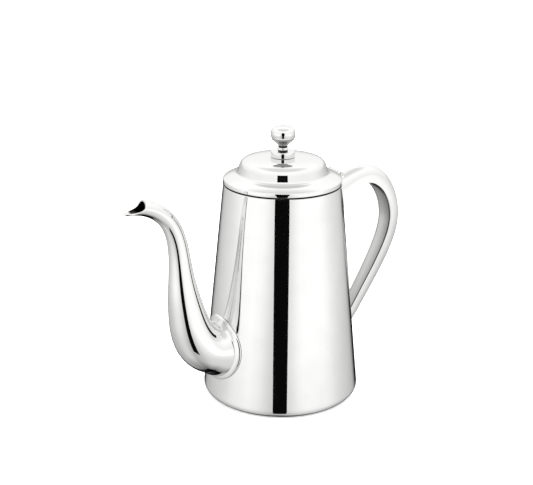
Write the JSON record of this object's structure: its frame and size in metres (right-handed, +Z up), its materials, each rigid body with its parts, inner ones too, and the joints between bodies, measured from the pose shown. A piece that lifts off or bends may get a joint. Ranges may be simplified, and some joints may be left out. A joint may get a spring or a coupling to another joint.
{
  "type": "coffee pot",
  "caption": "Tapered round coffee pot with a swan-neck spout, a hollow loop handle and a hinged domed lid with a turned ball knob.",
  "frame": {"origin": "centre of the flat resting face under the pot", "axes": "+Z up, the spout towards -X, the handle towards +X, the hinge's axis along Y"},
  "size_m": [0.2167, 0.1086, 0.188],
  "materials": {
    "polished_silver": "mirror-polished silver plate",
    "nickel_silver": "turned, unplated nickel silver"
  },
  "bodies": {
    "pot": {"body_shell": "polished_silver", "base_plate": "polished_silver", "mouth_ring": "polished_silver", "spout_left_half": "polished_silver", "spout_right_half": "polished_silver", "spout_collar": "polished_silver", "handle_shell": "polished_silver", "handle_inner_strip": "polished_silver", "hinge_bracket": "polished_silver", "hinge_pin": "nickel_silver"},
    "lid": {"lid_shell": "polished_silver", "lid_sleeve": "polished_silver", "hinge_leaf": "polished_silver", "knob_foot": "polished_silver", "knob_collar": "polished_silver", "knob_finial": "polished_silver", "knob_stud": "nickel_silver", "knob_washer": "nickel_silver", "knob_nut": "nickel_silver"}
  },
  "joints": [
    {"name": "lid_hinge", "type": "hinge", "parent": "pot", "child": "lid", "pos_m": [0.0432, 0, 0.1509], "axis": [0, 1, 0], "range_deg": [0, 100]}
  ]
}
